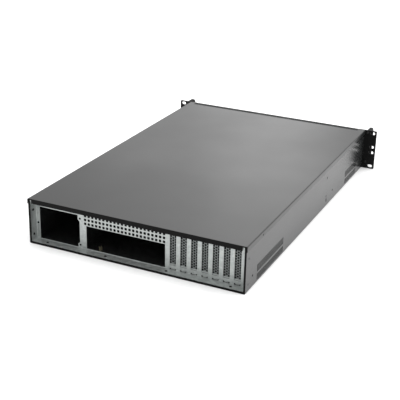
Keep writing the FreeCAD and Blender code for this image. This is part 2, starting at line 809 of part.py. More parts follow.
# Expansion slot cover: a narrow perforated strip bent over the panel's top wall, with a tongue below.
def slot_cover(k):
    blank = new_body(f"slot_cover_{k + 1}")
    blank.setExpression("Placement.Base.x", slot_x(k))
    blank.setExpression("Placement.Base.y", PANEL_FRONT)
    side = sketch_on(blank, "YZ_Plane")
    bend_top = "(sizes.shelf_height + sizes.blank_steel)"
    polygon(
        side,
        [
            ("-sizes.blank_steel", "sizes.blank_shoulder"),
            ("0", "sizes.blank_shoulder"),
            ("0", "sizes.shelf_height"),
            ("sizes.blank_flange", "sizes.shelf_height"),
            ("sizes.blank_flange", bend_top),
            ("-sizes.blank_steel", bend_top),
        ],
    )
    pad(blank, side, "sizes.blank_wide", centred=True)

    tongue = sketch_on(blank, "XZ_Plane", "-sizes.blank_steel")
    tip = f"({FLOOR} + sizes.blank_tip_gap)"
    root = "sizes.blank_shoulder + sizes.blank_tongue_root"
    wide = "sizes.blank_tongue_wide / 2"
    narrow = "sizes.blank_tip_wide / 2"
    polygon(
        tongue,
        [
            (f"-{narrow}", tip),
            (narrow, tip),
            (wide, f"{tip} + sizes.blank_tip_taper"),
            (wide, root),
            (f"-{wide}", root),
            (f"-{wide}", f"{tip} + sizes.blank_tip_taper"),
        ],
    )
    pad(blank, tongue, "sizes.blank_steel")

    # Three columns of six-sided holes, the middle one half a step higher.
    holes = sketch_on(blank, "XZ_Plane", "-sizes.blank_steel")
    higher = "sizes.blank_hole_base + sizes.blank_hole_pitch / 2"
    for x, height in (
        ("-sizes.blank_column", "sizes.blank_hole_base"),
        ("0", higher),
        ("sizes.blank_column", "sizes.blank_hole_base"),
    ):
        polygon(holes, six_sided(x, height, "sizes.blank_hole", turn=30))
    row = cut(blank, holes, "sizes.blank_steel")
    repeat(blank, row, holes, "sizes.blank_hole_rows", "sizes.blank_hole_pitch", upwards=True)

    # The flange is notched from one side for its screw.
    notch = sketch_on(blank, "XY_Plane", "sizes.shelf_height")
    half = "sizes.blank_notch / 2"
    centre = "sizes.blank_notch_rear"
    slant = f"{half} * {math.cos(math.pi / 4):.4f}"
    polygon(
        notch,
        [
            ("sizes.blank_wide", f"{centre} - {half}"),
            ("sizes.blank_wide", f"{centre} + {half}"),
            ("0", f"{centre} + {half}"),
            (f"-{slant}", f"{centre} + {slant}"),
            (f"-{half}", centre),
            (f"-{slant}", f"{centre} - {slant}"),
            ("0", f"{centre} - {half}"),
        ],
    )
    cut(blank, notch, "sizes.blank_steel")
    return blank


def pan_head(length):
    """Profile of a pan-head screw from its tip up, its head resting at height 0."""
    shank = value("sizes.screw") / 2
    head = value("sizes.screw_head") / 2
    tall = value("sizes.screw_head_tall")
    return [
        (0, -length),
        (shank, -length),
        (shank, 0),
        (head, 0),
        (head, value("sizes.screw_head_rim")),
        (value("sizes.screw_crown") / 2, tall),
        (value("sizes.screw_recess") / 2, tall),
        (0, tall - value("sizes.screw_recess_deep")),
    ]


def slot_cover_screws():
    rise = value("sizes.shelf_height + sizes.blank_steel")
    y = value(f"{PANEL_FRONT} + sizes.blank_notch_rear")
    length = value("sizes.blank_steel + 3 * sizes.panel_steel")
    profile = pan_head(length)
    count = int(value("sizes.slot_count"))
    places = [(value(slot_x(k)), y, rise) for k in range(count)]
    return group("slot_cover_screws", [turned(profile, p, (0, 0, 1)) for p in places])


# Rivets that hold the rear panel: four through the side walls, four through the floor.
def rear_panel_rivets():
    shank = value("sizes.rivet") / 2
    head = value("sizes.rivet_head") / 2
    bore = value("sizes.rivet_bore") / 2
    grip = value("sizes.tray_steel + sizes.panel_steel")
    tall = value("sizes.rivet_head_tall")
    skin = value("sizes.rivet_skin")
    profile = [
        (0, -grip),
        (shank, -grip),
        (shank, 0),
        (head, 0),
        (value("sizes.rivet_crown") / 2, tall),
        (bore, tall),
        (bore, skin - grip),
        (0, skin - grip),
    ]
    y = value(f"{REAR} - sizes.rivet_from_rear")
    inside = value(f"{WALL_IN} - sizes.panel_steel")
    floor_top = value(f"{FLOOR} + sizes.panel_steel")
    solids = []
    for height in (value("sizes.rivet_wall_low"), value("sizes.rivet_wall_high")):
        solids.append(turned(profile, (inside, y, height), (-1, 0, 0)))
        solids.append(turned(profile, (-inside, y, height), (1, 0, 0)))
    for i in range(4):
        solids.append(turned(profile, (value(rivet_floor_x(i)), y, floor_top), (0, 0, 1)))
    return group("rear_panel_rivets", solids)


# Rack ear: a flat steel plate with four slots at the rack's hole spacing.
def rack_ear(label, side):
    ear = new_body(label)
    plate = sketch_on(ear, "XZ_Plane", FACE)
    inner = "(sizes.front_half + sizes.ear_gap)"
    outer = "(sizes.rack_width / 2)"
    rectangle(plate, f"{side} * {inner}", f"{side} * {outer}", "0", "sizes.body_height")
    pad(ear, plate, "sizes.ear_thickness")
    edge = value(outer)
    round_edges(
        ear,
        "sizes.ear_corner",
        lambda p, q: near(p.x, q.x) and near(p.z, q.z) and near(abs(p.x), edge),
    )
    slots = sketch_on(ear, "XZ_Plane", FACE)
    across = f"{side} * sizes.rack_hole_span / 2"
    for height in rack_hole_heights():
        round_slot(slots, across, height, "sizes.rack_hole_wide", "sizes.rack_hole_tall")
    cut(ear, slots)
    screws = sketch_on(ear, "XZ_Plane", FACE)
    for height in handle_screw_heights():
        circle(screws, f"{side} * sizes.handle_outer", height, SCREW_HOLE)
    for x, height in ear_screw_places((side,)):
        circle(screws, x, height, SCREW_HOLE)
    cut(ear, screws)
    return ear


def rack_hole_heights():
    base = "sizes.rack_hole_base"
    second = f"({base} + sizes.rack_hole_rise)"
    third = f"({second} + sizes.rack_hole_middle)"
    return (base, second, third, f"({third} + sizes.rack_hole_rise)")


def handle_screw_heights():
    low = "(sizes.handle_base + sizes.handle_bar / 2)"
    return (low, "(sizes.handle_base + sizes.handle_tall - sizes.handle_bar / 2)")


# Handle: a flat D-shaped bar whose two legs stand on the ear.
def handle(label, side):
    grip = new_body(label)
    grip.setExpression("Placement.Base.x", f"{side} * sizes.handle_outer")
    grip.setExpression("Placement.Base.y", FACE)
    outline = sketch_on(grip, "YZ_Plane")
    top = "(sizes.handle_base + sizes.handle_tall)"
    rectangle(outline, "-sizes.handle_reach", "0", "sizes.handle_base", top)
    pad(grip, outline, "sizes.handle_wide", centred=True)
    reach = -value("sizes.handle_reach")
    round_edges(grip, "sizes.handle_corner", lambda p, q: along_x(p, q) and near(p.y, reach))
    gap = sketch_on(grip, "YZ_Plane")
    rectangle(
        gap,
        "-sizes.handle_reach + sizes.handle_bar",
        "0",
        "sizes.handle_base + sizes.handle_bar",
        f"{top} - sizes.handle_bar",
    )
    cut(grip, gap)
    inner = value("-sizes.handle_reach + sizes.handle_bar")
    round_edges(grip, "sizes.handle_inner_corner", lambda p, q: along_x(p, q) and near(p.y, inner))
    half = value("sizes.handle_wide") / 2

    def rim(p, q):
        on_side = near(abs(p.x), half) and near(p.x, q.x)
        at_foot = near(p.y, 0) and near(q.y, 0)
        return on_side and not at_foot

    bevel_edges(grip, "sizes.handle_edge", rim)
    bores = sketch_on(grip, "XZ_Plane")
    for height in handle_screw_heights():
        circle(bores, "0", height, SCREW_HOLE)
    cut(grip, bores, "sizes.handle_bore_deep", forwards=False)
    return grip


def handle_screws():
    length = value("sizes.ear_thickness + sizes.handle_bore_deep - sizes.handle_screw_short")
    solids = []
    for side in (-1, 1):
        for height in handle_screw_heights():
            place = (side * value("sizes.handle_outer"), value(FRONT), value(height))
            solids.append(turned(pan_head(length), place, (0, 1, 0)))
    return group("handle_screws", solids)


def ear_screws():
    length = value("sizes.ear_thickness + sizes.tray_steel + sizes.ear_screw_end")
    places = [(value(x), value(FACE), value(height)) for x, height in ear_screw_places()]
    return group("ear_screws", [turned(pan_head(length), place, (0, -1, 0)) for place in places])


# Front panel: a plate between the ears, folded back along its top edge, with cooling slots,
# the drive bay opening and holes for the buttons, lamps and sockets.
def front_panel():
    panel = new_body("front_panel")
    side = sketch_on(panel, "YZ_Plane")
    under = "(sizes.body_height - sizes.front_top_steel)"
    polygon(
        side,
        [
            (FACE, "0"),
            (FRONT, "0"),
            (FRONT, under),
            (f"{FRONT} + sizes.front_top_flange", under),
            (f"{FRONT} + sizes.front_top_flange", "sizes.body_height"),
            (FACE, "sizes.body_height"),
        ],
    )
    pad(panel, side, "2 * sizes.front_half", centred=True)
    face = value(FACE)
    top = value("sizes.body_height")
    round_edges(
        panel,
        "sizes.front_top_steel",
        lambda p, q: along_x(p, q) and near(p.y, face) and near(p.z, top),
    )

    vent = sketch_on(panel, "XZ_Plane", FACE)
    left = "-sizes.front_vent_left"
    for k in (0, 1):
        base = f"(sizes.front_vent_base + sizes.front_vent_rise * {k})"
        rectangle(vent, left, f"{left} + sizes.front_vent_slot", base, f"{base} + sizes.front_vent_tall")
    slots = cut(panel, vent)
    repeat(panel, slots, vent, "sizes.front_vent_columns", "sizes.front_vent_pitch")

    bay = sketch_on(panel, "XZ_Plane", FACE)
    bay_right = "sizes.bay_left + sizes.bay_wide"
    rectangle(bay, "sizes.bay_left", bay_right, "sizes.bay_base", "sizes.bay_base + sizes.bay_tall")
    cut(panel, bay, "sizes.ear_thickness")

    controls = sketch_on(panel, "XZ_Plane", FACE)
    circle(controls, "sizes.control_x", "sizes.power_height", "sizes.power_hole")
    circle(controls, "sizes.control_x", "sizes.reset_height", "sizes.reset_hole")
    for k in (-1, 0, 1):
        circle(controls, f"sizes.control_x + sizes.lamp_pitch * {k}", "sizes.lamp_height", LAMP_HOLE)
    half = "sizes.socket_wide / 2"
    for k in (0, 1):
        low = f"(sizes.socket_low + sizes.socket_pitch * {k})"
        rectangle(
            controls,
            f"sizes.control_x - {half}",
            f"sizes.control_x + {half}",
            low,
            f"{low} + sizes.socket_tall",
        )
    cut(panel, controls)
    return panel


# Drive bay cover: a moulded blank with two snap legs.
def bay_cover(label, k):
    blank = new_body(label)
    tall = "((sizes.bay_tall - 3 * sizes.bay_gap) / 2)"
    base = f"(sizes.bay_base + sizes.bay_gap + ({tall} + sizes.bay_gap) * {k})"
    left = "(sizes.bay_left + sizes.bay_gap)"
    right = "(sizes.bay_left + sizes.bay_wide - sizes.bay_gap)"
    section = sketch_on(blank, "XZ_Plane", FACE)
    rectangle(section, left, right, base, f"{base} + {tall}")
    pad(blank, section, "sizes.bay_cover_thick")
    recess = sketch_on(blank, "XZ_Plane", FACE)
    margin = "sizes.bay_cover_margin"
    rectangle(
        recess,
        f"{left} + {margin}",
        f"{right} - {margin}",
        f"{base} + {margin}",
        f"{base} + {tall} - {margin}",
    )
    cut(blank, recess, "sizes.bay_cover_recess")
    legs = sketch_on(blank, "XZ_Plane", f"{FACE} + sizes.bay_cover_thick")
    low = f"({base} + ({tall} - sizes.blank_leg_tall) / 2)"
    high = f"({low} + sizes.blank_leg_tall)"
    rectangle(legs, left, f"{left} + sizes.blank_leg_thick", low, high)
    rectangle(legs, f"{right} - sizes.blank_leg_thick", right, low, high)
    pad(blank, legs, "sizes.blank_leg")
    return blank


# Push button: a domed cap with a lip that stops it behind the front panel.
def push_button(label, hole, height):
    button = new_body(label)
    button.setExpression("Placement.Base.x", "sizes.control_x")
    button.setExpression("Placement.Base.y", FRONT)
    button.setExpression("Placement.Base.z", height)
    profile = sketch_on(button, "XY_Plane")
    radius = f"({hole} / 2 - sizes.button_clearance)"
    lip = f"({hole} / 2 + sizes.button_lip)"
    front = "(-sizes.ear_thickness - sizes.button_proud)"
    polygon(
        profile,
        [
            ("0", front),
            (f"{radius} - sizes.button_bevel", front),
            (radius, f"{front} + sizes.button_bevel"),
            (radius, "sizes.button_clearance / 2"),
            (lip, "sizes.button_clearance / 2"),
            (lip, "sizes.button_flange"),
            ("0", "sizes.button_flange"),
        ],
    )
    turning = button.newObject("PartDesign::Revolution", "turned")
    turning.Profile = profile
    turning.ReferenceAxis = (profile, ["V_Axis"])
    turning.Angle = 360
    doc.recompute()
    return button


BOARD_FRONT = f"({FRONT} + sizes.board_stand)"


def control_board():
    board = new_body("control_board")
    outline = sketch_on(board, "XZ_Plane", BOARD_FRONT)
    half = "sizes.board_wide / 2"
    top = "sizes.board_base + sizes.board_tall"
    rectangle(outline, f"sizes.control_x - {half}", f"sizes.control_x + {half}", "sizes.board_base", top)
    pad(board, outline, "sizes.board_thick")
    return board


def spacer_places():
    side = value("sizes.board_wide / 2 - sizes.spacer_margin")
    low = value("sizes.board_base + sizes.spacer_margin")
    high = value("sizes.board_base + sizes.board_tall - sizes.spacer_margin")
    x = value("sizes.control_x")
    return [(x - side, low), (x + side, low), (x - side, high), (x + side, high)]


def board_spacers():
    radius = value("sizes.spacer") / 2
    stand = value("sizes.board_stand")
    profile = [(0, 0), (radius, 0), (radius, stand), (0, stand)]
    y = value(FRONT)
    solids = [turned(profile, (x, y, z), (0, 1, 0)) for x, z in spacer_places()]
    return group("control_board_spacers", solids)


def button_switches():
    side = value("sizes.switch_side")
    stand = value("sizes.board_stand")
    tall = stand - value("sizes.button_flange + sizes.button_travel + sizes.button_clearance")
    y = value(BOARD_FRONT) - tall
    solids = []
    for height in (value("sizes.power_height"), value("sizes.reset_height")):
        corner = FreeCAD.Vector(value("sizes.control_x") - side / 2, y, height - side / 2)
        solids.append(Part.makeBox(side, tall, side, corner))
    return group("button_switches", solids)


def indicator_lamps():
    radius = value("sizes.lamp") / 2
    long = value("sizes.ear_thickness + sizes.board_stand")
    top = long + value("sizes.lamp_proud")
    profile = [(0, 0), (radius, 0), (radius, long), (value("sizes.lamp_crown") / 2, top), (0, top)]
    y = value(BOARD_FRONT)
    z = value("sizes.lamp_height")
    places = [(value(f"sizes.control_x + sizes.lamp_pitch * {k}"), y, z) for k in (-1, 0, 1)]
    return group("indicator_lamps", [turned(profile, p, (0, -1, 0)) for p in places])


def usb_sockets():
    wall = value("sizes.socket_wall")
    wide = value("sizes.socket_wide")
    tall = value("sizes.socket_tall")
    face = value(FACE)
    long = value(BOARD_FRONT) - face
    left = value("sizes.control_x") - wide / 2
    back = value("sizes.socket_back")
    tongue_wide = value("sizes.socket_tongue_wide")
    tongue_tall = value("sizes.socket_tongue_tall")
    tongue_base = value("sizes.socket_tongue_base")
    inset = value("sizes.socket_tongue_inset")
    solids = []
    for k in (0, 1):
        low = value(f"sizes.socket_low + sizes.socket_pitch * {k}")
        body = Part.makeBox(wide, long, tall, FreeCAD.Vector(left, face, low))
        mouth = FreeCAD.Vector(left + wall, face, low + wall)
        bore = Part.makeBox(wide - 2 * wall, long - back, tall - 2 * wall, mouth)
        tongue_at = FreeCAD.Vector(left + (wide - tongue_wide) / 2, face + inset, low + tongue_base)
        tongue = Part.makeBox(tongue_wide, long - inset, tongue_tall, tongue_at)
        solids.append(body.cut(bore).fuse(tongue))
    return group("usb_sockets", solids)


# Drive cage: an arch of sheet steel with feet, behind the bay covers.
def drive_cage():
    cage = new_body("drive_cage")
    start = f"({FRONT} + sizes.tray_steel + sizes.bay_gap)"
    section = sketch_on(cage, "XZ_Plane", start)
    left = "(sizes.bay_left - sizes.bay_gap)"
    right = "(sizes.bay_left + sizes.bay_wide + sizes.bay_gap)"
    foot_top = f"({FLOOR} + sizes.cage_steel)"
    polygon(
        section,
        [
            (f"{left} - sizes.cage_foot", FLOOR),
            (left, FLOOR),
            (left, "sizes.cage_top - sizes.cage_steel"),
            (right, "sizes.cage_top - sizes.cage_steel"),
            (right, FLOOR),
            (f"{right} + sizes.cage_foot", FLOOR),
            (f"{right} + sizes.cage_foot", foot_top),
            (f"{right} + sizes.cage_steel", foot_top),
            (f"{right} + sizes.cage_steel", "sizes.cage_top"),
            (f"{left} - sizes.cage_steel", "sizes.cage_top"),
            (f"{left} - sizes.cage_steel", foot_top),
            (f"{left} - sizes.cage_foot", foot_top),
        ],
    )
    pad(cage, section, "sizes.cage_deep")
    windows = sketch_on(cage, "YZ_Plane")
    for k in (0, 1):
        near_end = f"({start} + sizes.cage_window_first + sizes.cage_window_pitch * {k})"
        rectangle(
            windows,
            near_end,
            f"{near_end} + sizes.cage_window_long",
            "(sizes.cage_top - sizes.cage_window_tall) / 2",
            "(sizes.cage_top + sizes.cage_window_tall) / 2",
        )
    cut(cage, windows)
    return cage


# Fan wall: a folded sheet across the case with four round openings and their screw holes.
def fan_wall():
    wall = new_body("fan_wall")
    half = f"({WALL_IN} - {INNER_BEND} - sizes.fan_wall_side_gap)"
    at = f"({REAR} - sizes.fan_wall_at)"
    side = sketch_on(wall, "YZ_Plane")
    steel = "sizes.cage_steel"
    polygon(
        side,
        [
            (at, FLOOR),
            (at, f"sizes.fan_wall_top - {steel}"),
            (f"{at} + sizes.fan_wall_foot", f"sizes.fan_wall_top - {steel}"),
            (f"{at} + sizes.fan_wall_foot", "sizes.fan_wall_top"),
            (f"{at} - {steel}", "sizes.fan_wall_top"),
            (f"{at} - {steel}", f"{FLOOR} + {steel}"),
            (f"{at} - sizes.fan_wall_foot", f"{FLOOR} + {steel}"),
            (f"{at} - sizes.fan_wall_foot", FLOOR),
        ],
    )
    pad(wall, side, f"2 * {half}", centred=True)
    face = sketch_on(wall, "XZ_Plane", at)
    first = "(-sizes.fan_pitch * (sizes.fan_count - 1) / 2)"
    middle = f"(({FLOOR} + sizes.fan_wall_top) / 2)"
    circle(face, first, middle, "sizes.fan_opening")
    opening = cut(wall, face, "2 * sizes.cage_steel", forwards=False)
    repeat(wall, opening, face, "sizes.fan_count", "sizes.fan_pitch")
    corners = sketch_on(wall, "XZ_Plane", at)
    reach = "sizes.fan_hole_span / 2"
    for sx in (-1, 1):
        for sz in (-1, 1):
            x = f"{first} + {sx} * {reach}"
            z = f"{middle} + {sz} * {reach}"
            polygon(corners, six_sided(x, z, "sizes.fan_hole"))
    holes = cut(wall, corners, "2 * sizes.cage_steel", forwards=False)
    repeat(wall, holes, corners, "sizes.fan_count", "sizes.fan_pitch")
    return wall


# Cross brace: a channel under the top cover, from wall to wall.
def cross_brace():
    brace = new_body("cross_brace")
    at = f"({REAR} - sizes.brace_at)"
    top = f"({FLANGE_UNDER} - {INNER_BEND} - sizes.brace_gap)"
    low = f"({top} - sizes.brace_tall)"
    half = "sizes.brace_wide / 2"
    steel = "sizes.cage_steel"
    side = sketch_on(brace, "YZ_Plane")
    polygon(
        side,
        [
            (f"{at} - {half}", low),
            (f"{at} - {half} + {steel}", low),
            (f"{at} - {half} + {steel}", f"{top} - {steel}"),
            (f"{at} + {half} - {steel}", f"{top} - {steel}"),
            (f"{at} + {half} - {steel}", low),
            (f"{at} + {half}", low),
            (f"{at} + {half}", top),
            (f"{at} - {half}", top),
        ],
    )
    pad(brace, side, f"2 * {WALL_IN}", centred=True)
    return brace


# Divider beside the power supply: an upright sheet with a foot along the floor.
def supply_divider():
    divider = new_body("supply_divider")
    x = "(sizes.supply_left - sizes.divider_gap)"
    section = sketch_on(divider, "XZ_Plane", f"{PANEL_FRONT} - sizes.divider_deep")
    steel = "sizes.cage_steel"
    polygon(
        section,
        [
            (f"{x} - sizes.divider_foot", FLOOR),
            (x, FLOOR),
            (x, "sizes.divider_top"),
            (f"{x} - {steel}", "sizes.divider_top"),
            (f"{x} - {steel}", f"{FLOOR} + {steel}"),
            (f"{x} - sizes.divider_foot", f"{FLOOR} + {steel}"),
        ],
    )
    pad(divider, section, "sizes.divider_deep")
    return divider


def standoff_places():
    first = value("-sizes.board_column_first")
    columns = [first, first + value("sizes.board_column_middle"), first + value("sizes.board_column_last")]
    edge = value(f"{PANEL_FRONT} - sizes.board_row_first")
    rows = [edge, edge - value("sizes.board_row_middle"), edge - value("sizes.board_row_last")]
    return [(x, y) for x in columns for y in rows]


# Standoffs: nine threaded hexagonal posts that carry a full-size board.
def board_standoffs():
    tall = value("sizes.standoff_tall")
    floor = value(FLOOR)
    reach = value("sizes.standoff_flats") / 2 / math.cos(math.pi / 6)
    solids = []
    for x, y in standoff_places():
        corners = []
        for i in range(6):
            angle = math.radians(60 * i)
            corners.append(FreeCAD.Vector(x + reach * math.cos(angle), y + reach * math.sin(angle), floor))
        post = flat_face(corners).extrude(FreeCAD.Vector(0, 0, tall))
        bore = Part.makeCylinder(value("sizes.standoff_bore") / 2, tall, FreeCAD.Vector(x, y, floor))
        solids.append(post.cut(bore))
    return group("board_standoffs", solids)


parts = [
    chassis_tray(),
    top_cover(),
    rear_panel(),
]
for k in range(int(value("sizes.slot_count"))):
    parts.append(slot_cover(k))
parts += [
    slot_cover_screws(),
    rear_panel_rivets(),
    rack_ear("left_rack_ear", "-1"),
    rack_ear("right_rack_ear", "1"),
    handle("left_handle", "-1"),
    handle("right_handle", "1"),
    handle_screws(),
    ear_screws(),
    front_panel(),
    bay_cover("lower_bay_cover", 0),
    bay_cover("upper_bay_cover", 1),
    push_button("power_button", "sizes.power_hole", "sizes.power_height"),
    push_button("reset_button", "sizes.reset_hole", "sizes.reset_height"),
    control_board(),
    board_spacers(),
    button_switches(),
    indicator_lamps(),
    usb_sockets(),
    drive_cage(),
    fan_wall(),
    cross_brace(),
    supply_divider(),
    board_standoffs(),
]
doc.recompute()

for item in doc.Objects:
    bad = [state for state in item.State if state in ("Invalid", "Error")]
    if bad:
        raise RuntimeError(f"{item.Name} failed: {bad}")
for item in parts:
    if item.Shape.isNull() or not item.Shape.isValid():
        raise RuntimeError(f"{item.Label} has no valid shape")

os.makedirs("parts", exist_ok=True)
for item in parts:
    item.Shape.exportStep(f"parts/{item.Label}.step")
    box = item.Shape.BoundBox
    print(f"{item.Label}: {len(item.Shape.Solids)} solid(s), volume {item.Shape.Volume:.1f}")
    print(f"  x {box.XMin:.2f} to {box.XMax:.2f}, y {box.YMin:.2f} to {box.YMax:.2f}")
    print(f"  z {box.ZMin:.2f} to {box.ZMax:.2f}")
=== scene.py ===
import math

import bmesh
import bpy
import numpy as np
from mathutils import Matrix, Vector


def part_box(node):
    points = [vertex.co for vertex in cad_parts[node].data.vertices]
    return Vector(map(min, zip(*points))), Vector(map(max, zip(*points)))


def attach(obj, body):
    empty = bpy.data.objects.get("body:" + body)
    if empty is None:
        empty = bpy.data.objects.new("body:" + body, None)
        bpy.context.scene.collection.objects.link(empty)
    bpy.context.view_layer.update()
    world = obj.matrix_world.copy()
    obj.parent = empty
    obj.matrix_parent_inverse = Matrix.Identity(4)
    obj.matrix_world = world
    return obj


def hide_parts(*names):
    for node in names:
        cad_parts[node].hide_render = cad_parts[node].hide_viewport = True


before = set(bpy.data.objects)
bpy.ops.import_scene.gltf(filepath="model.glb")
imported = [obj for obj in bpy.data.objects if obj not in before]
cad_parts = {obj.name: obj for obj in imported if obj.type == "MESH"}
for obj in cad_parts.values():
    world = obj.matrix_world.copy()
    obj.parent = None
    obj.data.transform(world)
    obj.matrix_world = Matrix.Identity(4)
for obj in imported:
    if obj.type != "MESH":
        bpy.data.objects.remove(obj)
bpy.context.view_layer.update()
scene = bpy.context.scene
scene.view_settings.view_transform = "Standard"


# Camera. It stands behind the case, off the corner between the rear panel and the left wall (-X),
# and looks down on it through a long lens. It leans by about a degree. Every length in this script
# is in metres, with the front towards -Y and the top towards +Z.
viewpoint = Vector((-0.7274, 1.6449, 0.7585))
looking = Vector((0.3876, -0.8349, -0.3909))
lean = math.radians(1.33)
camera = bpy.data.objects.new("camera", bpy.data.cameras.new("camera"))
camera.data.sensor_width = 36.0
camera.data.lens = 85.4
camera.location = viewpoint
turn = looking.to_track_quat("-Z", "Y") @ Matrix.Rotation(lean, 3, "Z").to_quaternion()
camera.rotation_euler = turn.to_euler()
scene.collection.objects.link(camera)
scene.camera = camera


# Studio floor. A wide sheet of matt white paper, bright enough to leave only a faint shadow. It lies
# a hair below the case.
def linear(code):
    """The linear colour of an sRGB hex code: each channel is undone by the sRGB curve."""
    channels = (int(code[i : i + 2], 16) / 255 for i in (1, 3, 5))
    return tuple(c / 12.92 if c <= 0.04045 else ((c + 0.055) / 1.055) ** 2.4 for c in channels) + (1.0,)


def add(tree, kind, sockets=(), **settings):
    """Adds one shader node with its settings, and gives its sockets their values and links.

    The sockets are named by a dictionary, or listed in the order in which the node has them.
    """
    made = tree.nodes.new(f"ShaderNode{kind}")
    for name, setting in settings.items():
        setattr(made, name, setting)
    inputs = {socket.identifier: socket for socket in made.inputs}
    named = sockets if isinstance(sockets, dict) else dict(zip(inputs, sockets))
    for name, given in named.items():
        if isinstance(given, bpy.types.NodeSocket):
            tree.links.new(given, inputs[name])
        else:
            inputs[name].default_value = given
    return made


def new_material(name):
    """An empty material: returns it, its tree and its object coordinates."""
    material = bpy.data.materials.new(name)
    material.use_nodes = True
    material.node_tree.nodes.clear()
    return material, material.node_tree, add(material.node_tree, "TexCoord").outputs["Object"]


# The fibres give the paper a surface without any sheen. They are drawn coarse enough to show.
fibre_size = 0.0025
paper, tree, place = new_material("matt_white_paper")
fibre = add(tree, "TexNoise", {"Vector": place, "Scale": 1 / fibre_size})
relief = add(tree, "Bump", {"Height": fibre.outputs["Fac"], "Strength": 0.02, "Distance": 0.0002})
sheet = add(
    tree,
    "BsdfPrincipled",
    {
        "Base Color": linear("#f4f4f4"),
        "Roughness": 1.0,
        "Specular IOR Level": 0.0,
        "Normal": relief.outputs[0],
    },
)
add(tree, "OutputMaterial", {"Surface": sheet.outputs[0]})

floor_half = 7.0
floor_drop = 0.0003
floor_mesh = bpy.data.meshes.new("studio_floor")
corners = np.array([(-1, -1, 0), (1, -1, 0), (1, 1, 0), (-1, 1, 0)]) * floor_half
floor_mesh.from_pydata((corners - (0, 0, floor_drop)).tolist(), [], [(0, 1, 2, 3)])
floor_mesh.materials.append(paper)
floor = bpy.data.objects.new("studio_floor", floor_mesh)
scene.collection.objects.link(floor)


# Studio light. A white surround, with a softer fill on the case itself, and a broad lamp overhead.
# Two tall softboxes side by side beyond the front, a strong and a weak one, fade across the cover.
surround_light = 1.0
fill_light = 0.8
world = bpy.data.worlds.new("white_surround")
world.use_nodes = True
scene.world = world
tree = world.node_tree
tree.nodes.clear()
ray = add(tree, "LightPath").outputs
seen = ray["Is Camera Ray"]
for other in (ray["Is Glossy Ray"], ray["Is Transmission Ray"]):
    seen = add(tree, "Math", (seen, other), operation="MAXIMUM").outputs[0]
fill = add(tree, "Background", (linear("#ffffff"), fill_light))
white = add(tree, "Background", (linear("#ffffff"), surround_light))
surround = add(tree, "MixShader", (seen, fill.outputs[0], white.outputs[0]))
add(tree, "OutputWorld", {"Surface": surround.outputs[0]})

overhead = bpy.data.objects.new("overhead", bpy.data.lights.new("overhead", "SUN"))
overhead.data.energy = 3.0
overhead.data.angle = math.radians(80)
overhead.rotation_euler = (math.radians(8), math.radians(-14), 0)
scene.collection.objects.link(overhead)

softbox_tall = 1.8
softbox_beyond = -3.4
softbox_height = 1.5
for name, across, wide, power in (("softbox_main", 1.15, 0.7, 5.7), ("softbox_side", 1.9, 0.8, 2.4)):
    softbox = bpy.data.objects.new(name, bpy.data.lights.new(name, "AREA"))
    softbox.data.shape = "RECTANGLE"
    softbox.data.size = wide
    softbox.data.size_y = softbox_tall
    softbox.data.energy = power
    softbox.location = (across, softbox_beyond, softbox_height)
    softbox.rotation_euler = (-softbox.location).to_track_quat("-Z", "Y").to_euler()
    softbox.visible_camera = False
    scene.collection.objects.link(softbox)


# Tray and top cover. Each is folded from steel sheet and powder coated. The cover slides home under
# the front panel's flange, with its own side flanges over the tray's walls, and has holes for the
# screws that lock it. The supply divider inside is painted with the tray.
tray_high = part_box("chassis_tray")[1]
cover_low, cover_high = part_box("top_cover")
cover_steel = 0.001
coat_drift = 0.2
peel_size = 0.00125
speck_size = 0.0004
edge_zone = 0.0004
edge_fade = 0.0002
dust_shadow_tall = 0.0016
dust_shadow_fade = 0.0007
dust_shadow_top = 0.0001


def finish(names, material):
    """Puts a material in the one slot of each named node."""
    for name in names:
        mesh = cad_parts[name].data
        mesh.materials.clear()
        mesh.materials.append(material)


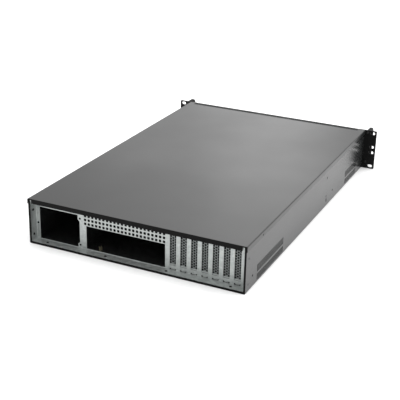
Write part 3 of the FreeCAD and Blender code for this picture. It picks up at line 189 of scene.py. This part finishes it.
def satin_black(name, tones, gloss, rear_edge, dust_and_shadow_below=None):
    """Satin black powder coat, which drifts a little in tone and gloss over a large panel.

    It has a fine orange peel and paler specks. Behind rear_edge (Y), the narrow edges that face the
    rear are painted near black, with little reflection: painted shade. A thin tan line, partly dust
    and partly painted shadow under the cover's flange, lies just below the height given last (Z). Each
    Map Range carries its value from its first two numbers to its last two, or to 0 and 1.
    """
    material, tree, place = new_material(name)
    axes = add(tree, "SeparateXYZ", (place,)).outputs
    drift = add(tree, "TexNoise", {"Vector": place, "Scale": 1 / coat_drift, "Detail": 3.0}).outputs["Fac"]
    peel = add(tree, "TexNoise", {"Vector": place, "Scale": 1 / peel_size, "Detail": 2.0}).outputs["Fac"]
    specks = add(tree, "TexNoise", {"Vector": place, "Scale": 1 / speck_size, "Detail": 1.0}).outputs["Fac"]
    speck = add(tree, "MapRange", (specks, 0.6, 0.75, 0.0, 0.5)).outputs[0]
    # Painted shade: the narrow edges behind rear_edge turn near black, with little reflection.
    painted_rear_shade = add(tree, "MapRange", (axes["Y"], rear_edge, rear_edge + edge_fade)).outputs[0]
    rough = add(tree, "MapRange", (drift, 0.3, 0.7, *gloss)).outputs[0]
    layers = [(drift, tones[1]), (speck, "#222323")]
    # Partly dust and partly painted shadow: a thin, rough tan line just under the cover's flange.
    if dust_and_shadow_below is not None:
        lowest = dust_and_shadow_below - dust_shadow_tall
        upper = add(tree, "MapRange", (axes["Z"], lowest, lowest + dust_shadow_fade)).outputs[0]
        under = add(tree, "MapRange", (axes["Z"], dust_and_shadow_below - dust_shadow_top, dust_and_shadow_below, 1.0, 0.0)).outputs[0]
        dust_and_shadow = add(tree, "Math", (upper, under), operation="MULTIPLY").outputs[0]
        rough = add(tree, "Math", (rough, dust_and_shadow), operation="ADD").outputs[0]
        layers.append((dust_and_shadow, "#3b352c"))
    layers.append((painted_rear_shade, "#0a0a0a"))
    paint = linear(tones[0])
    for share, tone in layers:
        sockets = {"Factor_Float": share, "A_Color": paint, "B_Color": linear(tone)}
        paint = add(tree, "Mix", sockets, data_type="RGBA").outputs[2]
    relief = add(tree, "Bump", {"Height": peel, "Strength": 0.06, "Distance": 0.0002})
    coat = add(
        tree,
        "BsdfPrincipled",
        {
            "Base Color": paint,
            "Roughness": rough,
            "IOR": 1.5,
            "Specular IOR Level": add(tree, "MapRange", (painted_rear_shade, 0.0, 1.0, 0.5, 0.08)).outputs[0],
            "Normal": relief.outputs[0],
        },
    )
    add(tree, "OutputMaterial", {"Surface": coat.outputs[0]})
    return material


tray_coat = satin_black(
    "satin_black_coat_tray", ("#1e1f1f", "#262727"), (0.22, 0.28), tray_high.y - edge_zone, cover_low.z
)
cover_coat = satin_black(
    "satin_black_coat_cover", ("#131414", "#191a1a"), (0.29, 0.36), cover_high.y - cover_steel - edge_zone
)
finish(["chassis_tray", "supply_divider"], tray_coat)
finish(["top_cover"], cover_coat)


# Rear panel, slot covers and the sheet pieces inside. They are punched and folded from steel with a
# hot dipped zinc coat, and left bare. The panel is riveted in, and each cover is held by one screw.
panel_steel = 0.001
blank_steel = 0.0009
slot_count = 7
lowest_hole = 0.0128
web_fade = 0.0005
front_fade = 0.00005
rear_fade = 0.00003
crystal_size = 0.00455
cloud_size = 0.0167
mark_long = 0.025
mark_wide = 0.00055
panel_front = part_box("rear_panel")[0].y


def galvanised(name, front, rear, holes_from=None):
    """Weathered zinc: a soft bright grey, with faint crystals a few millimetres wide.

    Rolling marks run along it, drawn coarser than the real ones so that they show. It is matt, so it
    is less than fully metallic. From front to rear (Y), which is the thickness of the punched plate,
    faces that look sideways are the walls of its holes: raw steel, coloured darker with painted shade.
    Above holes_from (Z) the thin webs between the holes take a darker grey, which is painted shade.
    """
    material, tree, place = new_material(name)
    axes = add(tree, "SeparateXYZ", (place,)).outputs
    crystals = add(tree, "TexVoronoi", {"Vector": place, "Scale": 1 / crystal_size}).outputs["Color"]
    crystal = add(tree, "SeparateColor", (crystals,)).outputs[0]
    cloud = add(tree, "TexNoise", {"Vector": place, "Scale": 1 / cloud_size, "Detail": 4.0}).outputs["Fac"]
    marks = (1 / mark_long, 1 / mark_long, 1 / mark_wide)
    stretch = add(tree, "Mapping", {"Vector": place, "Scale": marks}).outputs[0]
    rolled = add(tree, "TexNoise", {"Vector": stretch, "Scale": 1.0, "Detail": 2.0}).outputs["Fac"]
    tone = add(tree, "Math", (crystal, cloud), operation="MULTIPLY").outputs[0]

    normal = add(tree, "NewGeometry").outputs["True Normal"]
    along = add(tree, "SeparateXYZ", (normal,)).outputs["Y"]
    along = add(tree, "Math", (along,), operation="ABSOLUTE").outputs[0]
    # Raw steel and painted shade: sideways faces within the plate's thickness are coloured near black.
    hole_wall_steel_and_shade = add(tree, "MapRange", (along, 0.3, 0.5, 1.0, 0.0)).outputs[0]
    for limits in ((front - front_fade, front, 0.0, 1.0), (rear - rear_fade, rear, 1.0, 0.0)):
        within = add(tree, "MapRange", (axes["Y"], *limits)).outputs[0]
        hole_wall_steel_and_shade = add(tree, "Math", (hole_wall_steel_and_shade, within), operation="MULTIPLY").outputs[0]

    layers = [
        (add(tree, "MapRange", (tone, 0.0, 0.6)).outputs[0], "#c0c4c2"),
        (add(tree, "MapRange", (rolled, 0.45, 0.7, 0.0, 0.25)).outputs[0], "#8f9493"),
    ]
    # Painted shade: above holes_from the webs between the holes take a darker grey.
    if holes_from is not None:
        limits = (holes_from - web_fade, holes_from + web_fade)
        layers.append((add(tree, "MapRange", (axes["Z"], *limits)).outputs[0], "#7b7f7e"))
    layers.append((hole_wall_steel_and_shade, "#1d1e1e"))
    zinc = linear("#a9adac")
    for share, colour in layers:
        sockets = {"Factor_Float": share, "A_Color": zinc, "B_Color": linear(colour)}
        zinc = add(tree, "Mix", sockets, data_type="RGBA").outputs[2]
    relief = add(tree, "Bump", {"Height": rolled, "Strength": 0.04, "Distance": 0.0001})
    coat = add(
        tree,
        "BsdfPrincipled",
        {
            "Base Color": zinc,
            "Metallic": 0.7,
            "Roughness": add(tree, "MapRange", (tone, 0.0, 0.7, 0.45, 0.6)).outputs[0],
            "Normal": relief.outputs[0],
        },
    )
    add(tree, "OutputMaterial", {"Surface": coat.outputs[0]})
    return material


panel_zinc = galvanised("galvanised_steel", panel_front, panel_front + panel_steel)
blank_zinc = galvanised("galvanised_slot_cover", panel_front - blank_steel, panel_front, lowest_hole)
finish([f"slot_cover_{k + 1}" for k in range(slot_count)], blank_zinc)
finish(["rear_panel", "drive_cage", "fan_wall", "cross_brace"], panel_zinc)


# Rack ears and front panel. Thicker plate, powder coated matt black. The ears carry the whole case
# in its rack and are screwed to the tray's walls.
patch_size = 0.04


def matt_black(name, dark, pale, grain, sheen):
    """Matt black: a fine grain takes nearly all reflection from it, and its high points are paler.

    The grain is drawn coarser than the real one, so that it shows.
    """
    material, tree, place = new_material(name)
    peaks = add(tree, "TexNoise", {"Vector": place, "Scale": 1 / grain, "Detail": 3.0}).outputs["Fac"]
    patch = add(tree, "TexNoise", {"Vector": place, "Scale": 1 / patch_size, "Detail": 2.0}).outputs["Fac"]
    share = add(tree, "MapRange", (peaks, 0.45, 0.75)).outputs[0]
    sockets = {"Factor_Float": share, "A_Color": linear(dark), "B_Color": linear(pale)}
    relief = add(tree, "Bump", {"Height": peaks, "Strength": 0.15, "Distance": 0.0002})
    coat = add(
        tree,
        "BsdfPrincipled",
        {
            "Base Color": add(tree, "Mix", sockets, data_type="RGBA").outputs[2],
            "Roughness": add(tree, "MapRange", (patch, 0.3, 0.7, 0.48, 0.6)).outputs[0],
            "Specular IOR Level": sheen,
            "Normal": relief.outputs[0],
        },
    )
    add(tree, "OutputMaterial", {"Surface": coat.outputs[0]})
    return material


plate_coat = matt_black("matt_black_powder_coat", "#080808", "#111111", 0.00077, 0.12)
finish(["left_rack_ear", "right_rack_ear", "front_panel"], plate_coat)


# Handles. Cast aluminium bows in the same matt black, smooth all round. Each is a rounded square
# bar that leaves the ear, turns through two bends and comes back, screwed on from behind.
def piece(name, grids, material, body):
    """One object from grids of points, each of rows, columns and three coordinates.

    Four neighbours make a face, and the last column joins the first. Points that meet are joined,
    and the faces are turned outwards.
    """
    grids = np.asarray(grids, float)
    count, rows, columns = grids.shape[:3]
    number = np.arange(count * rows * columns).reshape(count, rows, columns)
    number = np.concatenate([number, number[:, :, :1]], axis=2)
    quads = [number[:, :-1, :-1], number[:, :-1, 1:], number[:, 1:, 1:], number[:, 1:, :-1]]
    mesh = bpy.data.meshes.new(name)
    mesh.from_pydata(grids.reshape(-1, 3).tolist(), [], np.stack(quads, -1).reshape(-1, 4).tolist())
    shape = bmesh.new()
    shape.from_mesh(mesh)
    bmesh.ops.remove_doubles(shape, verts=shape.verts, dist=1e-6)
    bmesh.ops.recalc_face_normals(shape, faces=shape.faces)
    shape.to_mesh(mesh)
    shape.free()
    mesh.shade_smooth()
    mesh.materials.append(material)
    made = bpy.data.objects.new(name, mesh)
    scene.collection.objects.link(made)
    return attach(made, body)


bar_deep = 0.009
bar_bend = 0.0065
bar_fullness = 3.6
bar_points = 28
bend_points = 10


def bow(low, high):
    """A handle: a rounded rectangle carried along a path that runs out, turns, rises and comes back.

    The section follows |a|^n + |b|^n = 1, where n is its fullness, scaled to half the bar's width
    and depth. Its centre runs straight out from the ear, round a quarter circle, up the grip and
    round the second quarter.
    """
    wide, deep = (high.x - low.x) / 2, bar_deep / 2
    bends = np.linspace(0, np.pi / 2, bend_points)
    turn_y = low.y + deep + bar_bend
    turn_low, turn_high = low.z + deep + bar_bend, high.z - deep - bar_bend
    first = np.stack([turn_y - bar_bend * np.sin(bends), turn_low - bar_bend * np.cos(bends)], -1)
    second = np.stack([turn_y - bar_bend * np.cos(bends), turn_high + bar_bend * np.sin(bends)], -1)
    path = np.concatenate([[[high.y, low.z + deep]], first, second, [[high.y, high.z - deep]]])
    outward_first = np.stack([-np.sin(bends), -np.cos(bends)], -1)
    outward_second = np.stack([-np.cos(bends), np.sin(bends)], -1)
    outward = np.concatenate([[[0.0, -1.0]], outward_first, outward_second, [[0.0, 1.0]]])
    angles = np.linspace(0, 2 * np.pi, bar_points, endpoint=False)
    across = np.sign(np.cos(angles)) * np.abs(np.cos(angles)) ** (2 / bar_fullness) * wide
    out = np.sign(np.sin(angles)) * np.abs(np.sin(angles)) ** (2 / bar_fullness) * deep
    x = np.broadcast_to((low.x + high.x) / 2 + across, (len(path), bar_points))
    in_plane = path[:, None, :] + outward[:, None, :] * out[None, :, None]
    return np.concatenate([x[:, :, None], in_plane], axis=2)


cast_black = matt_black("matt_black_cast_handle", "#070707", "#101010", 0.0011, 0.14)
for node in ("left_handle", "right_handle"):
    handle = piece(f"{node}_cast", [bow(*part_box(node))], cast_black, "chassis")
    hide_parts(node)


# Screws and rivets. The handle and ear screws and the rivets of the rear panel are blackened steel,
# which hardly shows on the black sheet. The slot cover screws are zinc plated.
black_oxide = matt_black("black_oxide_steel", "#0b0b0c", "#1b1b1c", 0.0004, 0.3)
finish(["handle_screws", "ear_screws", "rear_panel_rivets"], black_oxide)

# The plating is brighter and smoother than the sheet, and a little worn by the driver.
wear_size = 0.0011
plating, tree, place = new_material("zinc_plating")
worn = add(tree, "TexNoise", {"Vector": place, "Scale": 1 / wear_size, "Detail": 3.0}).outputs["Fac"]
sockets = {"Factor_Float": worn, "A_Color": linear("#b4b7b9"), "B_Color": linear("#cdd0d2")}
bright = add(
    tree,
    "BsdfPrincipled",
    {
        "Base Color": add(tree, "Mix", sockets, data_type="RGBA").outputs[2],
        "Metallic": 1.0,
        "Roughness": add(tree, "MapRange", (worn, 0.3, 0.7, 0.18, 0.38)).outputs[0],
    },
)
add(tree, "OutputMaterial", {"Surface": bright.outputs[0]})
finish(["slot_cover_screws"], plating)


# Pressed dimples. The fan wall is held by dimples pressed outwards in each side wall of the tray,
# two to a side, under the same coat. Their rounded tops take the light.
dimple_radius = 0.0024
dimple_rise = 0.0007
dimple_y = -0.066
dimple_heights = (0.022, 0.062)
dimple_rings = 6
dimple_points = 16


def dome(x, height, outward):
    """A low dome: its rings shrink to the middle as they rise along a quarter of an ellipse."""
    steps = np.linspace(0, np.pi / 2, dimple_rings)
    angles = np.linspace(0, 2 * np.pi, dimple_points, endpoint=False)
    ring = dimple_radius * np.cos(steps)[:, None]
    top = x + outward * dimple_rise * np.sin(steps)[:, None]
    y = dimple_y + ring * np.cos(angles)
    z = height + ring * np.sin(angles)
    return np.stack([np.broadcast_to(top, y.shape), y, z], -1)


for side, outward in (("left", -1), ("right", 1)):
    domes = [dome(outward * tray_high.x, height, outward) for height in dimple_heights]
    dimples = piece(f"wall_dimples_{side}", domes, tray_coat, "chassis")


# Bay covers. Moulded in black ABS with a fine spark-eroded grain, and held in the front panel by
# snap legs. The bodies of the button switches are the same plastic.
gloss_drift = 0.033
gloss_spread = 0.05


def moulded(name, dark, pale, grain, rough):
    """Moulded plastic: a fine grain with paler high points, and a slow drift in its gloss.

    The grain is drawn coarser than the real one, so that it shows.
    """
    material, tree, place = new_material(name)
    peaks = add(tree, "TexNoise", {"Vector": place, "Scale": 1 / grain, "Detail": 3.0}).outputs["Fac"]
    drift = add(tree, "TexNoise", {"Vector": place, "Scale": 1 / gloss_drift}).outputs["Fac"]
    share = add(tree, "MapRange", (peaks, 0.5, 0.8)).outputs[0]
    sockets = {"Factor_Float": share, "A_Color": linear(dark), "B_Color": linear(pale)}
    relief = add(tree, "Bump", {"Height": peaks, "Strength": 0.3, "Distance": 0.0001})
    limits = (0.3, 0.7, rough - gloss_spread, rough + gloss_spread)
    plastic = add(
        tree,
        "BsdfPrincipled",
        {
            "Base Color": add(tree, "Mix", sockets, data_type="RGBA").outputs[2],
            "Roughness": add(tree, "MapRange", (drift, *limits)).outputs[0],
            "Normal": relief.outputs[0],
        },
    )
    add(tree, "OutputMaterial", {"Surface": plastic.outputs[0]})
    return material


black_abs = moulded("black_abs_grained", "#131314", "#1d1d1e", 0.00067, 0.5)
finish(["lower_bay_cover", "upper_bay_cover", "button_switches"], black_abs)


# Power and reset buttons. Each is a moulded key with a soft rim and a shallow dish for the
# fingertip, glossier than the bay covers. It slides in its hole with the switch behind it.
key_dish = 0.0004
key_rim = 0.12
key_steps = 6
key_points = 32


def key(low, high):
    """A round key: its outline turned about its own axis, with a rounded rim round a dished face."""
    radius, long = (high.x - low.x) / 2, high.y - low.y
    edge = radius * key_rim
    bends = np.linspace(0, np.pi / 2, key_steps)
    inner = np.linspace(radius - edge, 0, key_steps)[1:]
    rings = np.concatenate([[0.0, radius], radius - edge * (1 - np.cos(bends)), inner])
    hollow = key_dish * (1 - (inner / (radius - edge)) ** 2)
    depth = np.concatenate([[long, long], edge * (1 - np.sin(bends)), hollow])
    angles = np.linspace(0, 2 * np.pi, key_points, endpoint=False)
    x = (low.x + high.x) / 2 + rings[:, None] * np.cos(angles)
    z = (low.z + high.z) / 2 + rings[:, None] * np.sin(angles)
    y = np.broadcast_to((low.y + depth)[:, None], x.shape)
    return np.stack([x, y, z], -1)


glossy_key = moulded("black_glossy_key", "#0e0e0f", "#181819", 0.0004, 0.28)
for node, body in (("power_button", "power_key"), ("reset_button", "reset_key")):
    cap = piece(f"{node}_moulded", [key(*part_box(node))], glossy_key, body)
    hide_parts(node)


# Control board. A sheet of glass laminate that stands off the front panel on four nylon spacers. Its
# copper tracks show through the green solder mask as paler lines. The weave of the glass is drawn
# coarser than the real one, so that it shows.
track_pitch = 0.00385
weave_pitch = 0.002
board_green, tree, place = new_material("solder_mask_green")
grid = {"Vector": place, "Scale": 1 / track_pitch, "Mortar Size": 0.04}
tracks = add(tree, "TexBrick", grid).outputs["Fac"]
waves = {"Vector": place, "Scale": 1 / weave_pitch, "Distortion": 0.4}
weave = add(tree, "TexWave", waves).outputs["Fac"]
sockets = {"Factor_Float": tracks, "A_Color": linear("#12361f"), "B_Color": linear("#2b6a3a")}
relief = add(tree, "Bump", {"Height": weave, "Strength": 0.08, "Distance": 0.0001})
mask = add(
    tree,
    "BsdfPrincipled",
    {
        "Base Color": add(tree, "Mix", sockets, data_type="RGBA").outputs[2],
        "Roughness": add(tree, "MapRange", (weave, 0.0, 1.0, 0.25, 0.33)).outputs[0],
        "Normal": relief.outputs[0],
    },
)
add(tree, "OutputMaterial", {"Surface": mask.outputs[0]})
finish(["control_board"], board_green)
nylon = moulded("natural_nylon", "#c9c6b8", "#f8f4e3", 0.00055, 0.45)
finish(["control_board_spacers"], nylon)


# Indicator lamps. Three lamps of cast epoxy in a row, unlit: green, amber and blue from the left.
# They are clear enough to see into, and a little cloudy.
haze_size = 0.00083
lamp_fade = 0.1
lens, tree, place = new_material("tinted_epoxy_lens")
across = add(tree, "SeparateXYZ", (place,)).outputs["X"]
lamp_low, lamp_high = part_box("indicator_lamps")
third = (lamp_high.x - lamp_low.x) / 3
tint = linear("#4d9a52")
for lamp, colour in ((1, "#c98a2c"), (2, "#4a6fb0")):
    start = lamp_low.x + lamp * third
    share = add(tree, "MapRange", (across, start, start + lamp_fade * third)).outputs[0]
    sockets = {"Factor_Float": share, "A_Color": tint, "B_Color": linear(colour)}
    tint = add(tree, "Mix", sockets, data_type="RGBA").outputs[2]
haze = add(tree, "TexNoise", {"Vector": place, "Scale": 1 / haze_size}).outputs["Fac"]
epoxy = add(
    tree,
    "BsdfPrincipled",
    {
        "Base Color": tint,
        "Roughness": add(tree, "MapRange", (haze, 0.3, 0.7, 0.08, 0.2)).outputs[0],
        "IOR": 1.54,
        "Transmission Weight": 0.6,
    },
)
add(tree, "OutputMaterial", {"Surface": epoxy.outputs[0]})
finish(["indicator_lamps"], lens)


# USB sockets. Nickel plated shells, folded from strip round a tongue. They are rubbed bright by
# plugs, which leaves fine lines along their depth, drawn coarser than the real ones.
line_long = 0.0167
line_wide = 0.00033
nickel, tree, place = new_material("nickel_plating")
lines = (1 / line_wide, 1 / line_long, 1 / line_wide)
drawn = add(tree, "Mapping", {"Vector": place, "Scale": lines}).outputs[0]
marks = add(tree, "TexNoise", {"Vector": drawn, "Scale": 1.0, "Detail": 2.0}).outputs["Fac"]
sockets = {"Factor_Float": marks, "A_Color": linear("#b5b2a9"), "B_Color": linear("#cac7bf")}
shell = add(
    tree,
    "BsdfPrincipled",
    {
        "Base Color": add(tree, "Mix", sockets, data_type="RGBA").outputs[2],
        "Metallic": 1.0,
        "Roughness": add(tree, "MapRange", (marks, 0.3, 0.7, 0.2, 0.35)).outputs[0],
    },
)
add(tree, "OutputMaterial", {"Surface": shell.outputs[0]})
finish(["usb_sockets"], nickel)


# Board posts. Nine six-sided posts of brass, turned from bar and tarnished to a greyish gold. Fine
# rings from the tool run round each post, drawn coarser than the real ones.
ring_pitch = 0.00035
stain_size = 0.00286
brass, tree, place = new_material("turned_brass")
height = add(tree, "SeparateXYZ", (place,)).outputs["Z"]
rings = add(tree, "Math", (height, 2 * math.pi / ring_pitch), operation="MULTIPLY").outputs[0]
rings = add(tree, "Math", (rings,), operation="SINE").outputs[0]
stain = add(tree, "TexNoise", {"Vector": place, "Scale": 1 / stain_size, "Detail": 3.0}).outputs["Fac"]
sockets = {"Factor_Float": stain, "A_Color": linear("#a39a80"), "B_Color": linear("#c9c1a6")}
relief = add(tree, "Bump", {"Height": rings, "Strength": 0.1, "Distance": 0.00005})
post = add(
    tree,
    "BsdfPrincipled",
    {
        "Base Color": add(tree, "Mix", sockets, data_type="RGBA").outputs[2],
        "Metallic": 1.0,
        "Roughness": add(tree, "MapRange", (stain, 0.3, 0.7, 0.25, 0.4)).outputs[0],
        "Normal": relief.outputs[0],
    },
)
add(tree, "OutputMaterial", {"Surface": post.outputs[0]})
finish(["board_standoffs"], brass)
